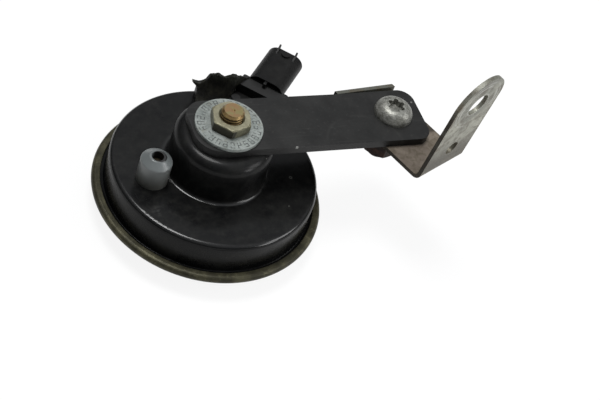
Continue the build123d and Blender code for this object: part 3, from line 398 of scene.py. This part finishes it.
def washer_zinc():
    """Dull bluish zinc of the index washer, with a ring of plain stamped figures."""
    m = Mat("washer_zinc", (0.22, 0.24, 0.225), 0.46, 0.25)
    x, y, z = m.axes()
    r = m.radius()
    cloud = m.noise(0.22, 4.0, 0.6)
    fine = m.noise(2.0, 3.0, 0.6)
    stain = m.noise(0.35, 3.0, 0.6, (6.0, 2.0, 0.0)).step(0.52, 0.72)
    turn = (y.op("ARCTAN2", x) / (2 * math.pi) + 0.5) * FIGURES
    number = turn.op("FLOOR")
    t = (turn.op("FRACT") - 0.5) * (2 * math.pi * FIGURE_R / FIGURES)
    q = r - FIGURE_R
    strokes = None
    rounding, full = STROKE_ROUNDING
    for k, (along, across) in enumerate(FIGURE_STROKES):
        seed = number + STROKE_SEED_GAP * k
        shown = m.node("ShaderNodeTexWhiteNoise", [seed], noise_dimensions="1D").step(*STROKE_SHOWN)
        if along:
            line = (t - along * FIGURE_HALF_W).near(0.0, FIGURE_LINE)
            ends = (q - across * FIGURE_MID).op("ABSOLUTE").step(FIGURE_MID + rounding, FIGURE_MID + full)
        else:
            line = (q - across * FIGURE_HALF_H).near(0.0, FIGURE_LINE)
            ends = t.op("ABSOLUTE").step(FIGURE_HALF_W + rounding, FIGURE_HALF_W + full)
        stroke = line * ends * shown
        strokes = stroke if strokes is None else strokes.op("MAXIMUM", stroke)
    worn = m.noise(0.9, 3.0, 0.6, (5.0, 5.0, 1.0)).step(0.30, 0.50)
    stamped = strokes * worn * z.step(WASHER_TOP - 0.10, WASHER_TOP - 0.05)
    mottle = (cloud * 0.5 + fine * 0.5).step(0.34, 0.66)
    base = m.blend(mottle, (0.150, 0.170, 0.160), (0.268, 0.290, 0.275))
    dull = m.blend(stain * 0.5, base, (0.13, 0.128, 0.098))
    m.set("Base Color", m.blend(stamped * 0.92, dull, (0.018, 0.021, 0.021)))
    m.set("Roughness", cloud * 0.2 + 0.36)
    return m.bump(fine * 0.1 - stamped * 0.5, 0.10)


def support_steel():
    """Bare stained steel of the support plate, polished in part rings round the large hole, with painted
    shade round the hole, on the leg's side faces and on the flat by the leaves.
    """
    m = Mat("support_bare_steel", (0.15, 0.13, 0.10), 0.46, 0.45)
    y = m.axes()[1]
    u = m.along(LEG_ORIGIN, LEG_ACROSS)
    v = m.along(LEG_ORIGIN, LEG_UP)
    w = m.along(LEG_ORIGIN, LEG_OUT)
    r = (u ** 2.0 + (v - LARGE_HOLE_UP) ** 2.0) ** 0.5
    cloud = m.noise(0.14, 5.0, 0.6)
    fine = m.noise(1.5, 4.0, 0.6, (2.0, 2.0, 2.0))
    stain = m.noise(0.30, 4.0, 0.68, (7.0, 3.0, 5.0)).step(0.46, 0.62)
    on_leg = v.step(1.0, 4.0) * w.step(-3.0, -2.0)
    broken = m.noise(0.10, 2.0, 0.5, (1.0, 6.0, 2.0)).step(0.38, 0.50)
    arcs = (r.near(RING_RS[0], 0.7) + r.near(RING_RS[1], 0.6) * 0.6) * broken
    lip = r.near(LARGE_HOLE_LIP_R, 0.5)
    ragged = m.noise(0.25, 3.0, 0.6, (3.0, 1.0, 8.0)).step(0.42, 0.55)
    edge = u.op("ABSOLUTE").near(LEG_HALF_W - 0.45, 1.3) * ragged
    flat = m.blend(cloud.step(0.35, 0.65), (0.130, 0.105, 0.083), (0.185, 0.155, 0.122))
    leg = m.blend(cloud.step(0.35, 0.65), (0.185, 0.184, 0.148), (0.300, 0.298, 0.245))
    low = v.step(21.0, 6.0) * m.noise(0.2, 3.0, 0.6, (2.0, 9.0, 4.0)).step(0.15, 0.45)
    high = v.step(38.0, 46.0)
    # Painted shade on the leg round the large hole, inside the polished rings.
    hub_shade = r.step(HUB_SHADE_R, HUB_SHADE_R - 1.0)
    tab = y.step(TAB_Y - 0.2, TAB_Y + 0.2)
    shaded = y.step(-6.8, -4.9) * y.step(TAB_Y - 0.1, TAB_Y - 0.3)
    stained_leg = m.blend(low * 0.9, m.blend(high * 0.55, leg, (0.10, 0.10, 0.088)), (0.042, 0.035, 0.020))
    standing = m.blend(hub_shade * 0.5, stained_leg, (0.150, 0.155, 0.130))
    lying = m.blend(tab, m.blend(shaded * 0.85, flat, (0.022, 0.018, 0.013)), (0.095, 0.097, 0.082))
    base = m.blend(on_leg, lying, standing)
    stained = m.blend(stain * 0.65, base, (0.075, 0.060, 0.038))
    burred = m.blend(edge * on_leg * 0.6, stained, (0.09, 0.065, 0.035))
    # Painted shade on the leg's side faces, fading out towards the top of the leg.
    side = u.op("ABSOLUTE").step(LEG_HALF_W - 0.12, LEG_HALF_W - 0.04) * v.step(44.0, 30.0)
    side_shaded = m.blend(side * 0.85, burred, (0.020, 0.016, 0.010))
    polished = (arcs * on_leg * 0.7 + lip * on_leg * 0.4).op("MINIMUM", 1.0)
    m.set("Base Color", m.blend(polished, side_shaded, (0.40, 0.40, 0.37)))
    m.set("Roughness", (fine * 0.2 + 0.38) - polished * 0.10)
    return m.bump(fine * 0.6 + cloud * 0.4, 0.04)


def cap_plastic():
    """Translucent grey plastic, darker low down where the inside shows through, with painted shade in the
    hole round the adjusting screw.
    """
    m = Mat("cap_translucent", (0.10, 0.11, 0.115), 0.34, 0.0)
    z = m.height()
    fog = m.noise(0.35, 3.0, 0.5)
    rise = (z + fog * 1.5).step(PAN_TOP + 1.0, CAP_CONE_FOOT + 1.1)
    cone = (z + fog * 0.6).step(CAP_CONE_FOOT, CAP_CONE_FOOT + 1.1)
    wall = m.blend(rise, (0.060, 0.0605, 0.055), (0.125, 0.132, 0.130))
    # Painted shade inside the hole round the adjusting screw.
    mouth_shade = m.radius(ADJUSTER[0] + 0.6, ADJUSTER[1] - 0.2).step(CAP_MOUTH_R + 0.15, CAP_MOUTH_R - 0.15)
    lit = m.blend(cone, wall, (0.105, 0.116, 0.116))
    m.set("Base Color", m.blend(mouth_shade, lit, (0.010, 0.010, 0.010)))
    m.set("Roughness", fog * 0.12 + 0.26)
    return m.bump(m.noise(1.2, 2.0, 0.5), 0.02)


def moulded_plastic(name, colour, roughness):
    """Plain moulded plastic, rubber or board, with a fine grain and a few scuffs."""
    m = Mat(name, colour, roughness, 0.0, Specular_IOR_Level=0.28)
    cloud = m.noise(0.2, 3.0, 0.5)
    grain = m.noise(4.0, 2.0, 0.5)
    scuff = m.noise((1.0, 1.0, 0.4), 4.0, 0.7, (1.0, 8.0, 3.0)).step(0.64, 0.74)
    base = m.blend(cloud.step(0.3, 0.7), tuple(c * 0.8 for c in colour), tuple(c * 1.2 for c in colour))
    m.set("Base Color", m.blend(scuff * 0.35, base, tuple(c * 3 for c in colour)))
    m.set("Roughness", cloud * 0.1 + (roughness - 0.05))
    return m.bump(grain, 0.02)


def connector_plastic():
    """Black moulding of the connector, a little dusty, with painted light on the step below the socket."""
    m = Mat("connector_plastic", (0.006, 0.006, 0.006), 0.42, 0.0, Specular_IOR_Level=0.14)
    cloud = m.noise(0.2, 4.0, 0.6)
    grain = m.noise(4.0, 2.0, 0.5)
    dust = m.noise(0.5, 4.0, 0.7, (1.0, 8.0, 3.0))
    # Painted light on the top of the step below the socket.
    step = m.height().near(RISER_TOP, 0.25)
    base = m.blend(cloud.step(0.3, 0.7), (0.0045, 0.0045, 0.0045), (0.0085, 0.0085, 0.008))
    m.set("Base Color", m.blend(step * 0.7 + dust.step(0.56, 0.74) * 0.2, base, (0.026, 0.026, 0.026)))
    m.set("Roughness", cloud * 0.15 + dust * 0.1 + 0.32)
    return m.bump(grain, 0.02)


def torn_compound():
    """Olive black sealing compound, glossy in the hollow and crumbled at the crest."""
    m = Mat("torn_compound", (0.008, 0.008, 0.006), 0.5, 0.0, Specular_IOR_Level=0.3)
    cloud = m.noise(0.35, 5.0, 0.7)
    grain = m.noise(1.8, 4.0, 0.6)
    dry = m.height().step(PAN_TOP + 8.8, PAN_TOP + 11.0) * grain.step(0.36, 0.60)
    olive = m.blend(cloud.step(0.38, 0.7), (0.004, 0.004, 0.003), (0.016, 0.0155, 0.010))
    m.set("Base Color", m.blend(dry * 0.5, olive, (0.030, 0.032, 0.025)))
    m.set("Roughness", grain * 0.35 + 0.28)
    return m.bump(grain * 0.6 + cloud * 0.4, 0.18)


def yellow_zinc():
    """Yellow passivated zinc of the stud's nut, lighter on the top, with painted shade on its sides and more
    on the flat towards minus x and y.
    """
    m = Mat("nut_yellow_zinc", (0.17, 0.16, 0.10), 0.40, 0.5)
    x, y, z = m.axes()
    cloud = m.noise(0.3, 4.0, 0.6)
    fine = m.noise(2.2, 3.0, 0.6)
    top = z.step(STUD_NUT_TOP - 0.12, STUD_NUT_TOP - 0.02)
    blotch = m.noise(0.7, 4.0, 0.65, (4.0, 2.0, 6.0)).step(0.42, 0.62)
    # Painted shade on the flat towards minus x and y, and on the sides below the top; the blotches are the
    # zinc's own.
    outward = x * LEFT_FLAT_SHADE[0] + y * LEFT_FLAT_SHADE[1]
    left_flat_shade = outward.step(LEFT_FLAT_SHADE_AT, LEFT_FLAT_SHADE_AT + 0.6) * z.step(STUD_NUT_TOP - 0.2, STUD_NUT_TOP - 0.7)
    flank_shade = z.step(STUD_NUT_TOP - 0.7, STUD_NUT_TOP - 1.3)
    base = m.blend((cloud * 0.6 + fine * 0.4).step(0.36, 0.62), (0.120, 0.110, 0.066), (0.30, 0.285, 0.19))
    shaded_and_blotched = m.blend(flank_shade * 0.55 + blotch * 0.25, base, (0.060, 0.054, 0.030))
    side = m.blend(left_flat_shade * 0.85, shaded_and_blotched, (0.018, 0.016, 0.010))
    m.set("Base Color", m.blend(top * 0.5, side, (0.30, 0.285, 0.20)))
    m.set("Roughness", fine * 0.2 + 0.26)
    return m.bump(fine * 0.6 + blotch * 0.4, 0.05)


def stud_steel():
    """Bronze-coloured stud: thread on the side with painted shade in its roots, and a tan end face."""
    m = Mat("stud_steel", (0.20, 0.14, 0.07), 0.36, 0.75)
    x, y, z = m.axes()
    cloud = m.noise(0.4, 4.0, 0.6)
    fine = m.noise(2.5, 3.0, 0.6)
    turns = (z / THREAD_PITCH - y.op("ARCTAN2", x) / (2 * math.pi)) * (2 * math.pi)
    side = z.step(STUD_END - 0.75, STUD_END - 0.95)
    thread = turns.op("SINE") * 0.5 * side
    end = z.step(STUD_END - 0.12, STUD_END - 0.02)
    base = m.blend(cloud.step(0.35, 0.65), (0.12, 0.075, 0.028), (0.30, 0.205, 0.085))
    # Painted shade in the roots of the thread.
    root_shaded = m.blend((0.5 - thread) * side * 0.9, base, (0.022, 0.014, 0.006))
    patch = m.noise(0.5, 2.0, 0.5, (3.0, 0.0, 7.0)).step(0.42, 0.58)
    face = m.blend(patch, (0.235, 0.150, 0.075), (0.215, 0.180, 0.082))
    m.set("Base Color", m.blend(end, root_shaded, face))
    m.set("Roughness", fine * 0.2 + 0.26 + end * 0.1)
    return m.bump(thread + fine * 0.05, 0.45)


def bolt_zinc():
    """Finely mottled zinc of the bolt's head, rusty below the bracket."""
    m = Mat("bolt_zinc", (0.17, 0.17, 0.155), 0.40, 0.55)
    cloud = m.noise(0.5, 5.0, 0.7)
    fine = m.noise(2.4, 4.0, 0.65)
    base = m.blend((cloud * 0.5 + fine * 0.5).step(0.40, 0.62), (0.13, 0.13, 0.115), (0.33, 0.33, 0.30))
    rust = m.height().step(LEAF_TOP - 2.0, LEAF_TOP - 4.0)
    m.set("Base Color", m.blend(rust, base, (0.018, 0.011, 0.008)))
    m.set("Roughness", fine * 0.25 + 0.28)
    return m.bump(fine * 0.5 + cloud * 0.5, 0.05)


def rusted_steel():
    """Dark rust of the nut under the bracket."""
    m = Mat("nut_rusted", (0.035, 0.024, 0.017), 0.62, 0.0, Specular_IOR_Level=0.15)
    cloud = m.noise(0.5, 5.0, 0.7)
    fine = m.noise(2.4, 4.0, 0.7)
    m.set("Base Color", m.blend(cloud.step(0.36, 0.66), (0.005, 0.0035, 0.003), (0.034, 0.015, 0.009)))
    m.set("Roughness", fine * 0.25 + 0.5)
    return m.bump(fine * 0.6 + cloud * 0.4, 0.10)


MATERIALS = {
    "tone_disc_steel": black_paint("tone_disc_black_paint"),
    "front_fastener_zinc": mottled_metal("front_fastener_zinc", (0.42, 0.41, 0.37), 0.38),
    "rim_zinc": rim_zinc(),
    "gasket_rubber": moulded_plastic("gasket_rubber", (0.022, 0.022, 0.022), 0.7),
    "pan_black_paint": black_paint("pan_black_paint"),
    "magnet_steel": mottled_metal("magnet_steel", (0.32, 0.32, 0.33), 0.40),
    "stud_steel": stud_steel(),
    "bobbin_plastic": moulded_plastic("bobbin_plastic", (0.05, 0.05, 0.05), 0.5),
    "coil_enamel": mottled_metal("coil_enamel", (0.38, 0.15, 0.06), 0.3, 0.2),
    "lead_enamel": mottled_metal("lead_enamel", (0.36, 0.15, 0.07), 0.35, 0.2),
    "rivet_black": moulded_plastic("rivet_black", (0.010, 0.010, 0.010), 0.45),
    "spring_bronze": mottled_metal("spring_bronze", (0.50, 0.34, 0.16), 0.33, 0.15),
    "contact_tungsten": mottled_metal("contact_tungsten", (0.42, 0.42, 0.43), 0.35),
    "insulator_board": moulded_plastic("insulator_board", (0.30, 0.18, 0.09), 0.6),
    "rivet_zinc": mottled_metal("rivet_zinc", (0.55, 0.55, 0.55), 0.35),
    # The adjusting screw is coloured near black: painted shade at the bottom of the cap's hole.
    "screw_brass": mottled_metal("screw_brass", (0.03, 0.024, 0.014), 0.5, 0.2),
    "cap_translucent": cap_plastic(),
    "blade_tin": mottled_metal("blade_tin", (0.58, 0.58, 0.56), 0.28, 0.12),
    "connector_plastic": connector_plastic(),
    "torn_compound": torn_compound(),
    "leaf_black_paint": leaf_paint(),
    "washer_zinc": washer_zinc(),
    "nut_yellow_zinc": yellow_zinc(),
    "bolt_zinc": bolt_zinc(),
    "nut_rusted": rusted_steel(),
    "support_bare_steel": support_steel(),
}
for part in frame["record"]["subparts"]:
    paint(part["node"], MATERIALS[part["material_slot"]])


# ---------------------------------------------------------------- torn compound
# The lump is a cube's grid bent into place: across runs along the crest, depth away from the horn's
# axis, and up from the pan. In millimetres, r is a distance along LUMP_AXIS and s one sideways from it.
LUMP_AXIS = math.radians(77.0)
LUMP_CUTS = 39
LUMP_CREST = (
    (-5.8, 28.1), (-5.0, 28.2), (-3.0, 30.3), (-2.45, 32.2), (-1.7, 33.1), (0.7, 33.5), (2.2, 32.9),
    (3.7, 32.4), (5.4, 33.6), (7.4, 33.9), (8.3, 33.3), (10.2, 32.2), (12.2, 30.4),
)
LUMP_LEFT = LUMP_CREST[0][0]
LUMP_W = 15.4
LUMP_FRONT_R = 28.2
LUMP_FRONT_LEAN = 5.3
LUMP_BACK_R = 35.3
LUMP_BACK_LEAN = 0.5
LUMP_SHARP_FROM = 28.0
HOLLOW_AT = 1.0
HOLLOW_HALF_W = 4.6
HOLLOW_DEPTH = 1.1
RISER_SIDE = 9.36
RISER_LAP = 2.4
# About the sine, cosine and tangent of the 29.5 degrees from the connector's turn to LUMP_AXIS.
RISER_SIN = 0.4924
RISER_COS = 0.8704
RISER_TAN = 0.5657
CORNER_AT = 8.0
CORNER_OUT = 0.85
SPIKE_OUT = 2.2
SPIKE_UP = 0.9
WEB_SIZE = (1.9, 1.2, 2.3)
WEB_BEVEL = 0.2
WEB_AT = (SOCKET_IN_X - 0.85, 0.4, RISER_TOP + 1.1)


def crest_height(s):
    """Height of the torn crest at a distance s along it."""
    for (s0, z0), (s1, z1) in zip(LUMP_CREST, LUMP_CREST[1:]):
        if s <= s1:
            share = max(0.0, (s - s0) / (s1 - s0))
            return z0 + (z1 - z0) * share
    return LUMP_CREST[-1][1]


def ramp(value, low, high):
    """0 below low, 1 above high and smooth between."""
    share = min(1.0, max(0.0, (value - low) / (high - low)))
    return share * share * (3.0 - 2.0 * share)


def torn_lump():
    """Lump with a smooth hollow towards the cup and a jagged crest that laps the connector."""
    bm = bmesh.new()
    bmesh.ops.create_cube(bm, size=1.0)
    bmesh.ops.subdivide_edges(bm, edges=bm.edges, cuts=LUMP_CUTS, use_grid_fill=True)
    outward = Vector((math.cos(LUMP_AXIS), math.sin(LUMP_AXIS), 0.0))
    sideways = Vector((math.sin(LUMP_AXIS), -math.cos(LUMP_AXIS), 0.0))
    for vert in bm.verts:
        across, depth, up = vert.co.x + 0.5, vert.co.y + 0.5, vert.co.z + 0.5
        rough = noise.noise(Vector((across * 9.0, depth * 4.0, up * 7.0)))
        crumple = noise.noise(Vector((across * 30.0, depth * 9.0, up * 18.0 + 3.0)))
        s = LUMP_LEFT + LUMP_W * across
        hollow = math.exp(-(((s - HOLLOW_AT) / HOLLOW_HALF_W) ** 2)) * math.sin(math.pi * min(1.0, up))
        front = LUMP_FRONT_R + LUMP_FRONT_LEAN * up ** 0.8 + HOLLOW_DEPTH * hollow
        back = LUMP_BACK_R - LUMP_BACK_LEAN * up ** 3
        r = front + (back - front) * depth + 0.35 * rough * up * (0.3 + 0.7 * depth)
        # The right-hand end follows the riser's side, and laps it near the crest.
        riser = RISER_SIDE - RISER_LAP * ramp(up, 0.60, 0.76) * depth
        right = (RISER_SIN * r - riser) / RISER_COS
        s = LUMP_LEFT + (right - LUMP_LEFT) * across
        shift = CORNER_OUT * max(0.0, s - CORNER_AT) * ramp(up, 0.2, 0.7) * (0.6 + 0.4 * depth)
        r += shift
        s += shift * RISER_TAN * across
        z = PAN_TOP + (crest_height(s) - PAN_TOP) * up
        z += up ** 6 * (0.5 * crumple + 0.3 * rough) * ramp(across, 0.0, 0.2)
        # A thin spike stands out at the left-hand end.
        spike = max(0.0, 1.0 - across * 11.0) ** 2 * ramp(z, 26.9, 28.1)
        s -= SPIKE_OUT * spike
        z += SPIKE_UP * spike
        s += 0.3 * crumple * up ** 2 * (1.0 - across)
        z = max(PAN_TOP, z)
        vert.co = (outward * r + sideways * s + Vector((0.0, 0.0, z))) * MM
    piece = new_object("torn_lump", bm, "torn_compound", LUMP_SHARP_FROM)
    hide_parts("torn_seal")


def connector_web():
    """Small web between the socket's inner end and the step below it."""
    bm = bmesh.new()
    bmesh.ops.create_cube(bm, size=1.0)
    bmesh.ops.scale(bm, verts=bm.verts, vec=Vector(WEB_SIZE) * MM)
    bmesh.ops.bevel(
        bm, geom=bm.edges, offset=WEB_BEVEL * MM, segments=2, profile=0.5, affect="EDGES", material=-1
    )
    bmesh.ops.translate(bm, verts=bm.verts, vec=Vector(WEB_AT) * MM)
    bmesh.ops.rotate(bm, verts=bm.verts, cent=(0, 0, 0), matrix=Matrix.Rotation(CONNECTOR_TURN, 3, "Z"))
    new_object("connector_web", bm, "connector_plastic")


torn_lump()
connector_web()


# ---------------------------------------------------------------- camera, floor and light
def set_camera():
    """The main camera, from its place, the way it looks and its roll."""
    look = Vector(CAMERA_LOOK).normalized()
    level = look.cross(Vector((0, 0, 1))).normalized()
    down = look.cross(level)
    roll = math.radians(CAMERA_ROLL)
    right = level * math.cos(roll) + down * math.sin(roll)
    up = -look.cross(right)
    turn = Matrix((right, up, -look)).transposed().to_4x4()
    data = bpy.data.cameras.new("camera")
    data.lens = CAMERA_LENS
    data.sensor_width = CAMERA_SENSOR_W
    data.clip_start = CAMERA_NEAR
    data.clip_end = CAMERA_FAR
    camera = bpy.data.objects.new("camera", data)
    camera.matrix_world = Matrix.Translation(Vector(CAMERA_AT) * MM) @ turn
    bpy.context.scene.collection.objects.link(camera)
    bpy.context.scene.camera = camera


def area_light(name, place, target, size, power):
    """White disc lamp that points at a target."""
    data = bpy.data.lights.new(name, "AREA")
    data.shape = "DISK"
    data.size = size
    data.energy = power
    lamp = bpy.data.objects.new(name, data)
    lamp.location = place
    lamp.rotation_euler = (Vector(target) - Vector(place)).to_track_quat("-Z", "Y").to_euler()
    bpy.context.scene.collection.objects.link(lamp)


def set_world():
    """Plain sky: bright overhead, and dimmer towards the horizon and on the left."""
    world = bpy.data.worlds.new("studio")
    world.use_nodes = True
    sky = Nodes(world.node_tree)
    x, _, z = sky.split(sky.source("ShaderNodeTexCoord", "Generated"))
    strength = z.step(0.1, 0.95, SKY_LOW, SKY_TOP) * x.step(-0.7, 0.5, SKY_LEFT, SKY_RIGHT)
    background = sky.tree.nodes["Background"]
    background.inputs["Color"].default_value = SKY_COLOUR
    sky.tree.links.new(strength.socket, background.inputs["Strength"])
    bpy.context.scene.world = world


def set_floor():
    """Pale floor, white to the camera and in reflections, with a light shadow kept."""
    bm = bmesh.new()
    bmesh.ops.create_grid(bm, x_segments=1, y_segments=1, size=FLOOR_HALF)
    mesh = bpy.data.meshes.new("floor")
    bm.to_mesh(mesh)
    bm.free()
    m = Mat("floor_pale", (0.92, 0.92, 0.92), 0.9, 0.0, Specular_IOR_Level=0.1)
    seen = m.source("ShaderNodeLightPath", "Is Camera Ray")
    for ray in ("Is Glossy Ray", "Is Transmission Ray"):
        seen = seen.op("MAXIMUM", m.source("ShaderNodeLightPath", ray))
    white = m.node("ShaderNodeEmission")
    mixed = m.node("ShaderNodeMixShader", [seen * FLOOR_WHITE, m.shader.outputs[0], white])
    m.tree.links.new(mixed.socket, m.tree.nodes["Material Output"].inputs["Surface"])
    mesh.materials.append(m.material)
    floor = bpy.data.objects.new("floor", mesh)
    floor.location.z = -FLOOR_DROP
    bpy.context.scene.collection.objects.link(floor)


set_camera()
set_world()
set_floor()
for lamp in LAMPS:
    area_light(*lamp)

bpy.context.scene.view_settings.view_transform = "Standard"
